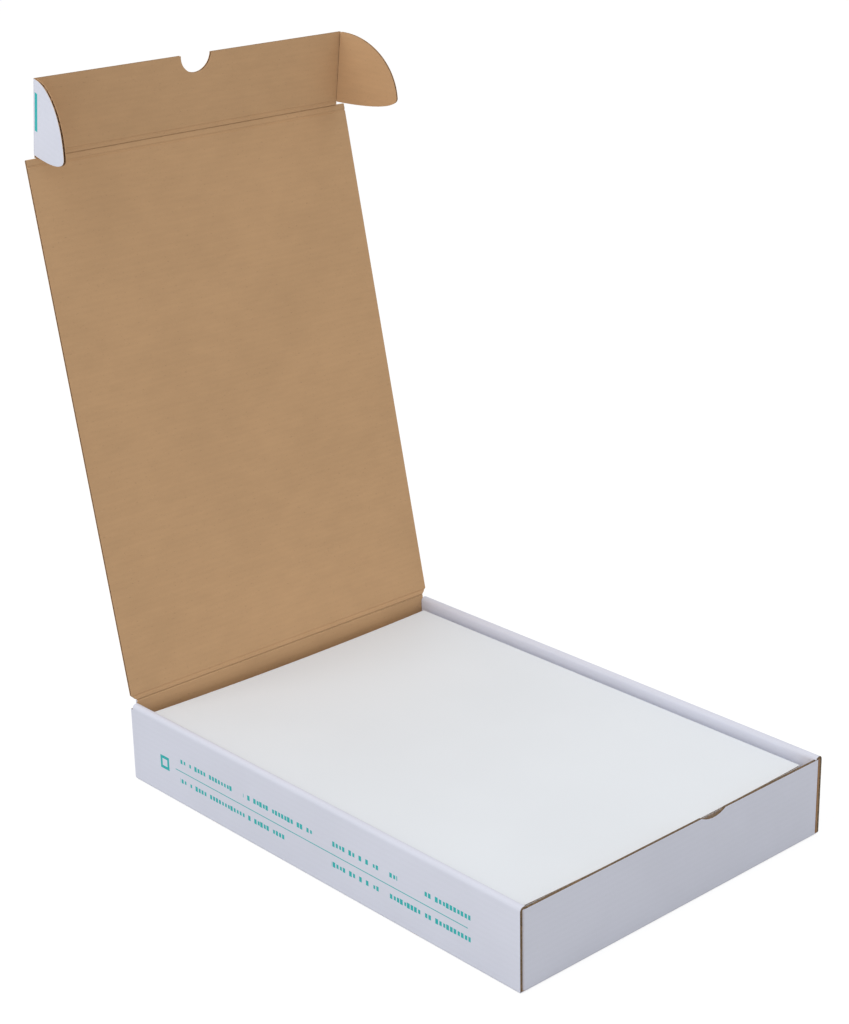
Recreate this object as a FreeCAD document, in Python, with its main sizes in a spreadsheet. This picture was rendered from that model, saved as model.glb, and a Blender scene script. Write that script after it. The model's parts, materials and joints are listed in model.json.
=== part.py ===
import FreeCAD, Part
import math
import os
import Sketcher
from FreeCAD import Vector

# A ream of A4 paper in its open carton, in millimetres.
# +Z is up, X runs across the width, the front wall faces -Y and the lid hangs on the rear wall at +Y.
# The origin is the middle of the carton's underside.

doc = FreeCAD.newDocument("paper_ream")
sheet = doc.addObject("Spreadsheet::Sheet", "Sizes")

driving = [
    # board and folds
    ("board", 1.5, "thickness of the corrugated board"),
    ("ply_gap", 0.15, "air between two plies that lie against each other"),
    ("fold_radius", 2.0, "outside radius of a folded edge"),
    ("hinge_gap", 0.95, "distance from a crease's axis to the panel that swings on it"),
    ("score_depth", 0.35, "depth of the scored lines beside the lid's creases"),
    ("score_width", 1.6, "width of a scored line"),
    ("score_inset", 3.2, "distance of a scored line from its crease"),
    # tray
    ("side_play", 3.2, "air between the stack and a side wall's inner ply"),
    ("front_play", 11.4, "air between the lowest sheet and the front wall"),
    ("rim_height", 47.5, "height of the rolled side walls"),
    ("front_height", 45.7, "height of the front wall, which ends under the rolls"),
    ("corner_tab", 58.0, "length of the tabs that the side walls trap"),
    ("lock_place", 81.0, "distance of the locking tabs from the middle"),
    ("lock_length", 24.0, "length of a locking tab"),
    ("lock_play", 0.4, "play of a locking tab in its slot"),
    ("nick_length", 6.5, "length of the nick at the foot of a side wall"),
    ("nick_height", 0.9, "height of that nick"),
    ("thumb_place", 25.5, "place of the front wall's thumb cut, right of the middle"),
    ("thumb_width", 18.5, "width of that thumb cut"),
    ("thumb_depth", 2.5, "depth of that thumb cut"),
    # lid, tuck flap and ears
    ("lid_inset", 0.5, "how much the lid stays inside the tray at each side"),
    ("flap_play", 3.55, "distance from the front wall's inside to the tuck flap's crease when closed"),
    ("lid_lift", 0.85, "height of the hinge above the rim"),
    ("lid_corner", 3.0, "chamfer of the lid's corners at the hinge"),
    ("lid_angle", 102.3, "angle of the lid from closed, in degrees"),
    ("flap_height", 45.0, "height of the tuck flap"),
    ("flap_angle", 20.0, "angle of the tuck flap from the lid's plane, in degrees"),
    ("grip_radius", 10.6, "radius of the half-round grip in the tuck flap"),
    ("ear_play", 1.1, "play between a folded ear and the side wall"),
    ("ear_start", 3.0, "distance of an ear's root from the tuck flap's crease"),
    ("ear_reach", 42.0, "length of an ear"),
    ("ear_tip_height", 12.5, "height of the ear's tip above the crease"),
    ("ear_round", 38.0, "radius of the ear's round edge"),
    ("ear_tip_radius", 2.6, "radius of the ear's tip"),
    ("left_ear_angle", 78.0, "angle of the left ear from the tuck flap's plane, in degrees"),
    ("right_ear_angle", 72.0, "angle of the right ear from the tuck flap's plane, in degrees"),
    # paper
    ("sheet_width", 210.0, "width of a sheet"),
    ("sheet_length", 297.0, "length of a sheet"),
    ("stack_height", 40.0, "thickness of the stack at its long edges"),
    ("stack_sag", 1.6, "how much lower the stack is along its middle"),
    ("stack_lean", 5.0, "how much further forward the top sheet lies than the bottom one"),
    ("rear_play", 0.6, "air between the lowest sheet and the rear wall"),
]

# The carton is made to take the sheets, and the lid to cover the carton
following = [
    ("tray_width", "=sheet_width + 2 * side_play + 6 * board + 4 * ply_gap", "outside width"),
    ("tray_length", "=sheet_length + rear_play + front_play + 2 * board", "outside length"),
    ("lid_width", "=tray_width - 2 * lid_inset", "width of the lid"),
    ("lid_length", "=tray_length - 1.5 * board - flap_play", "distance from the hinge to the flap's crease"),
]

for row, (alias, value, meaning) in enumerate(driving + following, start=1):
    sheet.set(f"A{row}", alias)
    sheet.set(f"B{row}", str(value))
    sheet.set(f"C{row}", meaning)
    sheet.setAlias(f"B{row}", alias)
doc.recompute()

# Expressions that several features share
half_width = "Sizes.tray_width / 2"
half_length = "Sizes.tray_length / 2"
wall_inside = "(Sizes.tray_width / 2 - Sizes.board)"
tab_outside = "(Sizes.tray_width / 2 - Sizes.board - Sizes.ply_gap)"
roll_radius = "(1.5 * Sizes.board + Sizes.ply_gap)"
roll_hollow = "(0.5 * Sizes.board + Sizes.ply_gap)"
inner_face = "(Sizes.tray_width / 2 - 3 * Sizes.board - 2 * Sizes.ply_gap)"
inner_back = "(Sizes.tray_width / 2 - 2 * Sizes.board - 2 * Sizes.ply_gap)"
spring_line = "(Sizes.rim_height - 1.5 * Sizes.board - Sizes.ply_gap)"
hinge_height = "(Sizes.rim_height + Sizes.lid_lift)"
ear_axis = "(Sizes.tray_width / 2 - 3.5 * Sizes.board - 2 * Sizes.ply_gap - Sizes.ear_play)"


def number(expression):
    """Value of an expression over the sheet."""
    sheet.set("E1", "=" + expression.replace("Sizes.", ""))
    sheet.recompute()
    value = sheet.get("E1")
    return float(getattr(value, "Value", value))


def new_body(name):
    body = doc.addObject("PartDesign::Body", name)
    body.Label = name
    doc.recompute()
    return body


def new_sketch(body, name, plane, offset="0"):
    """Sketch on one of the body's origin planes, moved along the plane's normal."""
    sketch = body.newObject("Sketcher::SketchObject", name)
    support = [item for item in body.Origin.OriginFeatures if item.Role == plane][0]
    sketch.AttachmentSupport = [(support, "")]
    sketch.MapMode = "FlatFace"
    if offset != "0":
        sketch.setExpression("AttachmentOffset.Base.z", offset)
    doc.recompute()
    return sketch


def pin(sketch, curve, end, across, up):
    """Fixes one end of a curve at a place given by two expressions."""
    for kind, expression, axis in (("DistanceX", across, -2), ("DistanceY", up, -1)):
        value = number(expression)
        if abs(value) < 1e-9:
            sketch.addConstraint(Sketcher.Constraint("PointOnObject", curve, end, axis))
            continue
        index = sketch.addConstraint(Sketcher.Constraint(kind, -1, 1, curve, end, value))
        sketch.setExpression(f"Constraints[{index}]", expression)


def outline(sketch, corners):
    """Closed outline. A corner is (across, up), or (across, up, radius, turn) where an arc leads to it.

    The radius is an expression; turn is 1 for an arc that runs counter-clockwise and -1 for clockwise.
    """
    places = [Vector(number(corner[0]), number(corner[1]), 0) for corner in corners]
    curves = []
    for index, corner in enumerate(corners):
        start, finish = places[index - 1], places[index]
        if len(corner) == 2:
            curve = sketch.addGeometry(Part.LineSegment(start, finish), False)
            curves.append((curve, 1, 2))
            continue
        radius, turn = number(corner[2]), corner[3]
        chord = finish - start
        lift = math.sqrt(max(radius ** 2 - (chord.Length / 2) ** 2, 0.0))
        side = Vector(-chord.y, chord.x, 0).normalize()
        centre = (start + finish) * 0.5 + side * (lift * turn)
        first, last = (start, finish) if turn > 0 else (finish, start)
        angles = [math.atan2(place.y - centre.y, place.x - centre.x) for place in (first, last)]
        if angles[1] < angles[0]:
            angles[1] += 2 * math.pi
        circle = Part.Circle(centre, Vector(0, 0, 1), radius)
        curve = sketch.addGeometry(Part.ArcOfCircle(circle, angles[0], angles[1]), False)
        curves.append((curve, 1, 2) if turn > 0 else (curve, 2, 1))
    for index, (curve, start_end, finish_end) in enumerate(curves):
        following = curves[(index + 1) % len(curves)]
        sketch.addConstraint(
            Sketcher.Constraint("Coincident", curve, finish_end, following[0], following[1]))
    for index, (curve, start_end, finish_end) in enumerate(curves):
        corner = corners[index]
        pin(sketch, curve, finish_end, corner[0], corner[1])
        chord = (places[index] - places[index - 1]).Length
        half_turn = len(corner) > 2 and chord > 1.98 * number(corner[2])
        if half_turn:
            # a half turn's centre lies on the line between its ends
            middle_across = f"(({corners[index - 1][0]}) + ({corner[0]})) / 2"
            middle_up = f"(({corners[index - 1][1]}) + ({corner[1]})) / 2"
            across_apart = abs(places[index].x - places[index - 1].x) > 1e-6
            kind, expression = ("DistanceY", middle_up) if across_apart else ("DistanceX", middle_across)
            constraint = sketch.addConstraint(
                Sketcher.Constraint(kind, -1, 1, curve, 3, number(expression)))
            sketch.setExpression(f"Constraints[{constraint}]", expression)
        elif len(corner) > 2:
            constraint = sketch.addConstraint(Sketcher.Constraint("Radius", curve, number(corner[2])))
            sketch.setExpression(f"Constraints[{constraint}]", corner[2])


def rectangle(sketch, left, right, low, high):
    outline(sketch, [(left, low), (right, low), (right, high), (left, high)])


def disc(sketch, across, up, radius):
    centre = Vector(number(across), number(up), 0)
    curve = sketch.addGeometry(Part.Circle(centre, Vector(0, 0, 1), number(radius)))
    pin(sketch, curve, 3, across, up)
    index = sketch.addConstraint(Sketcher.Constraint("Radius", curve, number(radius)))
    sketch.setExpression(f"Constraints[{index}]", radius)


def pad(body, name, sketch, length, middle=False):
    """Adds the sketch's area, along the plane's normal or to both sides of the plane."""
    feature = body.newObject("PartDesign::Pad", name)
    feature.Profile = sketch
    feature.setExpression("Length", length)
    if middle:
        feature.SideType = "Symmetric"
    doc.recompute()
    return feature


def pocket(body, name, sketch, length, middle=False, along=True):
    """Cuts the sketch's area away, and stops if nothing was cut."""
    before = body.Shape.Volume
    feature = body.newObject("PartDesign::Pocket", name)
    feature.Profile = sketch
    feature.setExpression("Length", length)
    if middle:
        feature.SideType = "Symmetric"
    feature.Reversed = along
    doc.recompute()
    if not body.Shape.Volume < before - 1e-6:
        raise RuntimeError(f"{name} cuts nothing")
    return feature


def tray():
    body = new_body("tray")
    # underside, side walls turned over at the rim, and their inner plies
    section = new_sketch(body, "side_wall_section", "XZ_Plane")
    outline(section, [
        ("0", "Sizes.board"),
        ("0", "0"),
        (f"{half_width} - Sizes.fold_radius", "0"),
        (half_width, "Sizes.fold_radius", "Sizes.fold_radius", 1),
        (half_width, spring_line),
        (inner_face, spring_line, roll_radius, 1),
        (inner_face, "Sizes.board + Sizes.ply_gap"),
        (inner_back, "Sizes.board + Sizes.ply_gap"),
        (inner_back, spring_line),
        (wall_inside, spring_line, roll_hollow, -1),
        (wall_inside, "Sizes.board"),
    ])
    right_wall = pad(body, "right_side_wall", section, "Sizes.tray_length", middle=True)
    left_wall = body.newObject("PartDesign::Mirrored", "left_side_wall")
    left_wall.Originals = [right_wall]
    middle_plane = [item for item in body.Origin.OriginFeatures if item.Role == "YZ_Plane"][0]
    left_wall.MirrorPlane = (middle_plane, [""])
    body.Tip = left_wall
    doc.recompute()

    # the rolls end where the front wall passes under them and where the rear wall rises
    front_end = new_sketch(body, "front_end_area", "XY_Plane", "Sizes.board")
    rectangle(front_end, f"-{wall_inside}", wall_inside,
              f"-({half_length} + 1)", f"-({half_length} - Sizes.board - Sizes.ply_gap)")
    pocket(body, "front_end_cut", front_end, "Sizes.front_height + Sizes.ply_gap - Sizes.board")
    rear_end = new_sketch(body, "rear_end_area", "XY_Plane", "Sizes.board")
    rectangle(rear_end, f"-{wall_inside}", wall_inside,
              f"{half_length} - Sizes.board - Sizes.ply_gap", f"{half_length} + 1")
    pocket(body, "rear_end_cut", rear_end, "Sizes.rim_height")
    rear_top = new_sketch(body, "rear_top_area", "XY_Plane", "Sizes.rim_height - 2 * Sizes.board")
    rectangle(rear_top, f"-({half_width} + 1)", f"{half_width} + 1",
              f"{half_length} - Sizes.board - Sizes.ply_gap", f"{half_length} + 1")
    pocket(body, "rear_top_cut", rear_top, "3 * Sizes.board")

    # front and rear wall, each folded at its ends into tabs that lie between the side walls' plies
    for name, sign, turn in (("front", "-", 1), ("rear", "", -1)):
        wall = new_sketch(body, f"{name}_wall_plan", "XY_Plane")
        tab_end = f"{sign}({half_length} - Sizes.corner_tab)"
        bend = f"{sign}({half_length} - Sizes.fold_radius)"
        outside = f"{sign}({half_length})"
        inside = f"{sign}({half_length} - Sizes.board)"
        tab_inside = f"({tab_outside} - Sizes.board)"
        corner = f"({tab_outside} - Sizes.fold_radius)"
        inner_radius = "(Sizes.fold_radius - Sizes.board)"
        outline(wall, [
            (f"-{tab_outside}", tab_end),
            (f"-{tab_outside}", bend),
            (f"-{corner}", outside, "Sizes.fold_radius", turn),
            (corner, outside),
            (tab_outside, bend, "Sizes.fold_radius", turn),
            (tab_outside, tab_end),
            (tab_inside, tab_end),
            (tab_inside, bend),
            (corner, inside, inner_radius, -turn),
            (f"-{corner}", inside),
            (f"-{tab_inside}", bend, inner_radius, -turn),
            (f"-{tab_inside}", tab_end),
        ])
        pad(body, f"{name}_wall", wall, "Sizes.front_height")

    # the rear wall rises to the crease that the lid swings on
    rear_section = new_sketch(body, "rear_wall_section", "YZ_Plane")
    outline(rear_section, [
        (f"{half_length} - Sizes.board", "Sizes.board"),
        (half_length, "Sizes.board"),
        (half_length, hinge_height),
        (f"{half_length} - Sizes.board", hinge_height, "Sizes.board / 2", 1),
    ])
    pad(body, "rear_wall_top", rear_section, f"2 * ({tab_outside} - Sizes.fold_radius)", middle=True)

    # shallow thumb cut in the front wall's upper edge
    thumb_radius = "((Sizes.thumb_width ^ 2 / 4 + Sizes.thumb_depth ^ 2) / (2 * Sizes.thumb_depth))"
    thumb = new_sketch(body, "thumb_cut_area", "XZ_Plane",
                       f"{half_length} - Sizes.board - Sizes.ply_gap / 2")
    disc(thumb, "Sizes.thumb_place",
         f"Sizes.front_height - Sizes.thumb_depth + {thumb_radius}", thumb_radius)
    pocket(body, "thumb_cut", thumb, "Sizes.board + 1")

    # locking tabs of the inner plies, the slots they stand in, and the nicks beside them
    slots = new_sketch(body, "lock_slot_area", "XY_Plane")
    tabs = new_sketch(body, "lock_tab_area", "XY_Plane", "Sizes.ply_gap")
    nicks = new_sketch(body, "nick_area", "XY_Plane")
    for end in (-1, 1):
        for side in (-1, 1):
            across = sorted([f"{side} * ({inner_face} - Sizes.lock_play)",
                             f"{side} * ({inner_back} + Sizes.lock_play)"], key=number)
            slot_half = "(Sizes.lock_length / 2 + Sizes.lock_play)"
            along = sorted([f"{end} * (Sizes.lock_place - {slot_half})",
                            f"{end} * (Sizes.lock_place + {slot_half})"], key=number)
            rectangle(slots, *across, *along)
            across = sorted([f"{side} * {inner_face}", f"{side} * {inner_back}"], key=number)
            along = sorted([f"{end} * (Sizes.lock_place - Sizes.lock_length / 2)",
                            f"{end} * (Sizes.lock_place + Sizes.lock_length / 2)"], key=number)
            rectangle(tabs, *across, *along)
            across = sorted([f"{side} * ({half_width} - Sizes.board / 2)",
                             f"{side} * ({half_width} + 1)"], key=number)
            along = sorted([f"{end} * (Sizes.lock_place - Sizes.nick_length / 2)",
                            f"{end} * (Sizes.lock_place + Sizes.nick_length / 2)"], key=number)
            rectangle(nicks, *across, *along)
    pocket(body, "lock_slots", slots, "Sizes.board")
    pad(body, "lock_tabs", tabs, "Sizes.board + Sizes.ply_gap")
    pocket(body, "nicks", nicks, "Sizes.nick_height")

    # the underside is bent, not cut, along the front and the rear wall
    for name, sign, turn in (("front", "-", -1), ("rear", "", 1)):
        bend = new_sketch(body, f"{name}_bend_area", "YZ_Plane")
        outline(bend, [
            (f"{sign}({half_length} + 1)", "-1"),
            (f"{sign}({half_length} - Sizes.fold_radius)", "-1"),
            (f"{sign}({half_length} - Sizes.fold_radius)", "0"),
            (f"{sign}({half_length})", "Sizes.fold_radius", "Sizes.fold_radius", turn),
            (f"{sign}({half_length} + 1)", "Sizes.fold_radius"),
        ])
        pocket(body, f"{name}_bend", bend, "Sizes.tray_width + 4", middle=True)
    return body


def scored_line(body, name, place, width):
    """Shallow rounded groove across the inner face, where the board was scored to fold."""
    radius = "((Sizes.score_width ^ 2 / 4 + Sizes.score_depth ^ 2) / (2 * Sizes.score_depth))"
    groove = new_sketch(body, f"{name}_area", "YZ_Plane")
    disc(groove, place, f"-(Sizes.board / 2 - Sizes.score_depth + {radius})", radius)
    pocket(body, name, groove, width, middle=True)


def lid_panel():
    """Drawn closed and flat: the hinge is the X axis, the panel runs to -Y, its inner face looks down."""
    body = new_body("lid_panel")
    section = new_sketch(body, "lid_section", "YZ_Plane")
    outline(section, [
        ("-Sizes.hinge_gap", "-Sizes.board / 2"),
        ("-Sizes.hinge_gap", "Sizes.board / 2"),
        ("-Sizes.lid_length", "Sizes.board / 2"),
        ("-Sizes.lid_length", "-Sizes.board / 2", "Sizes.board / 2", 1),
    ])
    pad(body, "lid_board", section, "Sizes.lid_width", middle=True)
    corners = new_sketch(body, "hinge_corner_area", "XY_Plane")
    for side in (1, -1):
        outline(corners, [
            (f"{side} * (Sizes.lid_width / 2 - Sizes.lid_corner)", "-Sizes.hinge_gap"),
            (f"{side} * (Sizes.lid_width / 2)", "-Sizes.hinge_gap - Sizes.lid_corner"),
            (f"{side} * (Sizes.lid_width / 2 + Sizes.lid_corner)", "-Sizes.hinge_gap + Sizes.lid_corner"),
        ])
    pocket(body, "hinge_corners", corners, "4 * Sizes.board", middle=True)
    scored_line(body, "hinge_score", "-Sizes.score_inset", "Sizes.lid_width + 2")
    scored_line(body, "crease_score", "-(Sizes.lid_length - Sizes.score_inset)", "Sizes.lid_width + 2")
    body.setExpression("Placement", f"placement(vector(0; {half_length} - Sizes.board / 2; {hinge_height});"
                                    " rotation(vector(1; 0; 0); -Sizes.lid_angle))")
    return body


def tuck_flap():
    """Drawn in the lid's plane: the crease is the X axis and the flap runs to -Y."""
    body = new_body("tuck_flap")
    plan = new_sketch(body, "flap_plan", "XY_Plane")
    rectangle(plan, f"-{ear_axis}", ear_axis, "-Sizes.flap_height", "-Sizes.hinge_gap")
    pad(body, "flap_board", plan, "Sizes.board", middle=True)
    folds = new_sketch(body, "ear_fold_area", "XZ_Plane", "Sizes.ear_start")
    disc(folds, f"-{ear_axis}", "0", "Sizes.board / 2")
    disc(folds, ear_axis, "0", "Sizes.board / 2")
    pad(body, "ear_folds", folds, "Sizes.flap_height - Sizes.ear_start")
    grip = new_sketch(body, "grip_area", "XY_Plane")
    disc(grip, "0", "-Sizes.flap_height", "Sizes.grip_radius")
    pocket(body, "grip", grip, "4 * Sizes.board", middle=True)
    scored_line(body, "flap_score", "-Sizes.score_inset", "Sizes.tray_width")
    body.setExpression("Placement", "lid_panel.Placement * placement(vector(0; -Sizes.lid_length; 0);"
                                    " rotation(vector(1; 0; 0); Sizes.flap_angle))")
    return body


def ear(name, side):
    """Drawn in the tuck flap's plane: the fold is the Y axis and the ear runs outwards along X."""
    body = new_body(name)
    plan = new_sketch(body, f"{name}_plan", "XY_Plane")
    tip_slope = "(0.85 * Sizes.ear_tip_radius)"
    outline(plan, [
        (f"{side} * Sizes.hinge_gap", "-Sizes.ear_start"),
        (f"{side} * Sizes.hinge_gap", "-Sizes.flap_height"),
        (f"{side} * Sizes.ear_reach", "-Sizes.ear_tip_height", "Sizes.ear_round", side),
        (f"{side} * (Sizes.ear_reach - {tip_slope})",
         f"-(Sizes.ear_tip_height - 1.35 * Sizes.ear_tip_radius)",
         "Sizes.ear_tip_radius", side),
    ])
    pad(body, f"{name}_board", plan, "Sizes.board", middle=True)
    body.setExpression("Placement", f"tuck_flap.Placement * placement(vector({side} * {ear_axis}; 0; 0);"
                                    f" rotation(vector(0; 1; 0); {side} * Sizes.{name}_angle))")
    return body


def paper_stack():
    """All the sheets as one block, leaning forward, with a top that dips along its middle."""
    body = new_body("paper_stack")
    rear = f"({half_length} - Sizes.board - Sizes.rear_play)"
    front = f"({half_length} - Sizes.board - Sizes.rear_play - Sizes.sheet_length)"
    top = "(Sizes.board + Sizes.stack_height)"
    side = new_sketch(body, "stack_side", "YZ_Plane")
    outline(side, [
        (front, "Sizes.board"),
        (rear, "Sizes.board"),
        (f"{rear} - Sizes.stack_lean", top),
        (f"{front} - Sizes.stack_lean", top),
    ])
    pad(body, "sheets", side, "Sizes.sheet_width", middle=True)
    sag_radius = "((Sizes.sheet_width ^ 2 / 4 + Sizes.stack_sag ^ 2) / (2 * Sizes.stack_sag))"
    dip = new_sketch(body, "dip_area", "XZ_Plane")
    outline(dip, [
        ("Sizes.sheet_width / 2", top),
        ("-Sizes.sheet_width / 2", top, sag_radius, -1),
    ])
    pocket(body, "dip", dip, "2 * Sizes.sheet_length", middle=True)
    return body


pieces = [tray(), lid_panel(), tuck_flap(), ear("left_ear", -1), ear("right_ear", 1), paper_stack()]
doc.recompute()

for item in doc.Objects:
    if "Invalid" in item.State or "Error" in item.State:
        raise RuntimeError(f"{item.Name} failed: {item.State}")
for piece in pieces:
    shape = piece.Shape
    if shape.isNull() or not shape.isValid() or len(shape.Solids) != 1:
        raise RuntimeError(f"{piece.Label} is not one valid solid")

os.makedirs("parts", exist_ok=True)
for piece in pieces:
    piece.Shape.exportStep(f"parts/{piece.Label}.step")
    print(piece.Label, "volume", round(piece.Shape.Volume), "mm3", piece.Shape.BoundBox)
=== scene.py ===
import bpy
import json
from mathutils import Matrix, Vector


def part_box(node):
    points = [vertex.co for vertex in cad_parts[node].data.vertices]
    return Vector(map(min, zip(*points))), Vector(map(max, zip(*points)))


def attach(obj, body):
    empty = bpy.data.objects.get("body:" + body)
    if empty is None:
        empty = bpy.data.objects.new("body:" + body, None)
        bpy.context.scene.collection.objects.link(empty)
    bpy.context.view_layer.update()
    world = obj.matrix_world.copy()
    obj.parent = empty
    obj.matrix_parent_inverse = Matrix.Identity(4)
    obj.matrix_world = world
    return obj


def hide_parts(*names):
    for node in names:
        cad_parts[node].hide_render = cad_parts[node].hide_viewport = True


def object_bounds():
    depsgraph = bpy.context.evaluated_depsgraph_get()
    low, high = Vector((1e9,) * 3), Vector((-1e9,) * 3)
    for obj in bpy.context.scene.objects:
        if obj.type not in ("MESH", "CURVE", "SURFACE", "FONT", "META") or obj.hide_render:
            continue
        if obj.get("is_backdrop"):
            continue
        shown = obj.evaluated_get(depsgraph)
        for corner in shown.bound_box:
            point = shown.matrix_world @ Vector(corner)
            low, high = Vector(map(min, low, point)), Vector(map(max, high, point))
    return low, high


bl_info = {
    "name": "Open Paper Carton",
    "version": (1, 0, 0),
    "blender": (4, 5, 0),
    "location": "3D View > Sidebar > Carton",
    "description": "Dresses an open corrugated carton with a ream of A4 paper",
    "category": "Object",
}

import json
import math

import bpy
from bpy.props import FloatProperty, FloatVectorProperty, IntProperty, PointerProperty
from mathutils import Matrix, Vector

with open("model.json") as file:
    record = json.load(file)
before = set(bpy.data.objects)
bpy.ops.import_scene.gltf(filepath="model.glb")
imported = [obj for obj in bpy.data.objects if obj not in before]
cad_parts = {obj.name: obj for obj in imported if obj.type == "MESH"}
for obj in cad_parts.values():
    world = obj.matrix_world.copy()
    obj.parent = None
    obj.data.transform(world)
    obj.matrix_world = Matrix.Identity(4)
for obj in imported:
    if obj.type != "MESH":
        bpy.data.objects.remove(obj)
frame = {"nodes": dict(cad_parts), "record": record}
MM = 0.001
FULL_TURN = (0.0, 2 * math.pi)
SHARP_ANGLE = 0.6

joints = {joint["name"]: joint for joint in frame["record"]["behaviour"]["joints"]}


# Values that a user may change

def length(name, value, description):
    return FloatProperty(name=name, description=description, default=value, min=0.0,
                         subtype="DISTANCE", unit="LENGTH", precision=5)


def colour(name, value, description):
    return FloatVectorProperty(name=name, description=description, default=value, size=3,
                               min=0.0, max=1.0, subtype="COLOR")


class BoardSettings(bpy.types.PropertyGroup):
    thickness: length("Board", 1.5 * MM, "Thickness of the corrugated board")
    liner: length("Liner", 0.24 * MM, "Thickness of the flat sheets on the board's two sides")
    medium: length("Medium", 0.2 * MM, "Thickness of the wavy sheet between them")
    pitch: length("Flute pitch", 3.3 * MM, "Distance from one flute to the next")
    recess: length("Recess", 0.12 * MM, "How far the wavy sheet stays behind a cut edge")
    root: length("Fold gap", 0.95 * MM, "Distance from a crease's axis to the flat board")
    score_inset: length("Score inset", 3.2 * MM, "Distance of a scored line from its crease")
    score_width: length("Score width", 1.6 * MM, "Width of a scored line")
    score_depth: length("Score depth", 0.35 * MM, "Depth of a scored line")
    lid_corner: length("Lid corner", 3.0 * MM, "Chamfer of the lid's corners at the hinge")
    grip_radius: length("Grip radius", 10.6 * MM, "Radius of the half-round grip in the tuck flap")
    flap_height: length("Flap height", 45.0 * MM, "Height of the tuck flap")
    ear_start: length("Ear start", 3.0 * MM, "Distance of an ear's root from the crease")
    ear_reach: length("Ear reach", 42.0 * MM, "Length of an ear")
    ear_tip: length("Ear tip", 12.5 * MM, "Height of the ear's tip above the crease")
    ear_round: length("Ear round", 38.0 * MM, "Radius of the ear's round edge")
    ear_fullness: length("Ear fullness", 6.0 * MM,
                         "How far the ear's edge runs straight on past its tip")
    ear_shoulder: length("Ear shoulder", 22.0 * MM,
                         "Where the ear's edge towards the crease levels out")
    left_ear_fold: FloatProperty(
        name="Left ear fold", description="Angle of the left ear from the flap",
        default=math.radians(78.0), subtype="ANGLE", unit="ROTATION")
    right_ear_fold: FloatProperty(
        name="Right ear fold", description="Angle of the right ear from the flap",
        default=math.radians(72.0), subtype="ANGLE", unit="ROTATION")


class StackSettings(bpy.types.PropertyGroup):
    packets: IntProperty(name="Packets", description="Number of layers the stack's edges show",
                         default=120, min=4, max=200)
    jitter: length("Jitter", 0.28 * MM, "How far a layer may lie out of line")
    sag: length("Sag", 1.6 * MM, "How much lower the stack is along its middle")
    lean: length("Lean", 5.0 * MM, "How much further forward the top sheet lies")
    seed: IntProperty(name="Seed", description="Seed of the layers' places", default=7)


class ColourSettings(bpy.types.PropertyGroup):
    kraft: colour("Kraft", (0.598, 0.370, 0.197), "Brown liner inside the carton")
    kraft_dark: colour("Kraft fibres", (0.300, 0.175, 0.095), "Darker fibres in the brown liner")
    white: colour("White liner", (0.755, 0.775, 0.880), "White liner outside the carton")
    edge: colour("Cut edge", (0.420, 0.265, 0.155), "Raw edge of the lid, the flap and the ears")
    # Wall edge: raw brown board edge, darkened as painted shade for its hollow flutes and the shaded
    # gaps at the tray's wall ends and the front wall's top.
    wall_edge: colour("Wall edge", (0.185, 0.125, 0.075), "Raw edge of the tray's walls")
    paper: colour("Paper", (0.850, 0.890, 0.935), "Sheets of paper")
    ink: colour("Ink", (0.015, 0.480, 0.480), "Printed marks")
    floor: colour("Floor", (0.620, 0.620, 0.620), "Floor under the carton")


class StageSettings(bpy.types.PropertyGroup):
    lens: FloatProperty(name="Lens", description="Focal length of the camera", default=79.12,
                        min=1.0, unit="CAMERA")
    place: FloatVectorProperty(name="Camera place", description="Where the camera stands", size=3,
                               default=(-0.76152, -0.81215, 0.59357), subtype="TRANSLATION",
                               unit="LENGTH")
    key: FloatProperty(name="Key light", description="Power of the large lamp", default=20.0,
                       min=0.0, subtype="POWER", unit="POWER")
    fill: FloatProperty(name="Front light", description="Power of the lamp in front", default=2.0,
                        min=0.0, subtype="POWER", unit="POWER")
    sky: FloatProperty(name="Sky", description="Strength of the light from all around",
                       default=0.68, min=0.0)
    glow: FloatProperty(name="Floor glow", description="Brightness of the floor's own light",
                        default=1.39, min=0.0)
    glow_share: FloatProperty(name="Floor glow share", min=0.0, max=1.0, default=0.6,
                              description="How much of the floor's look is its own light")


# Shader maths

class Term:
    """Output socket of a node, with arithmetic."""

    def __init__(self, graph, socket):
        self.graph, self.socket = graph, socket

    def _do(self, operation, *values):
        return self.graph.math(operation, *values)

    def __add__(self, other):
        return self._do("ADD", self, other)

    def __radd__(self, other):
        return self._do("ADD", other, self)

    def __sub__(self, other):
        return self._do("SUBTRACT", self, other)

    def __rsub__(self, other):
        return self._do("SUBTRACT", other, self)

    def __mul__(self, other):
        return self._do("MULTIPLY", self, other)

    def __rmul__(self, other):
        return self._do("MULTIPLY", other, self)

    def __truediv__(self, other):
        return self._do("DIVIDE", self, other)

    def __rtruediv__(self, other):
        return self._do("DIVIDE", other, self)


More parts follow.
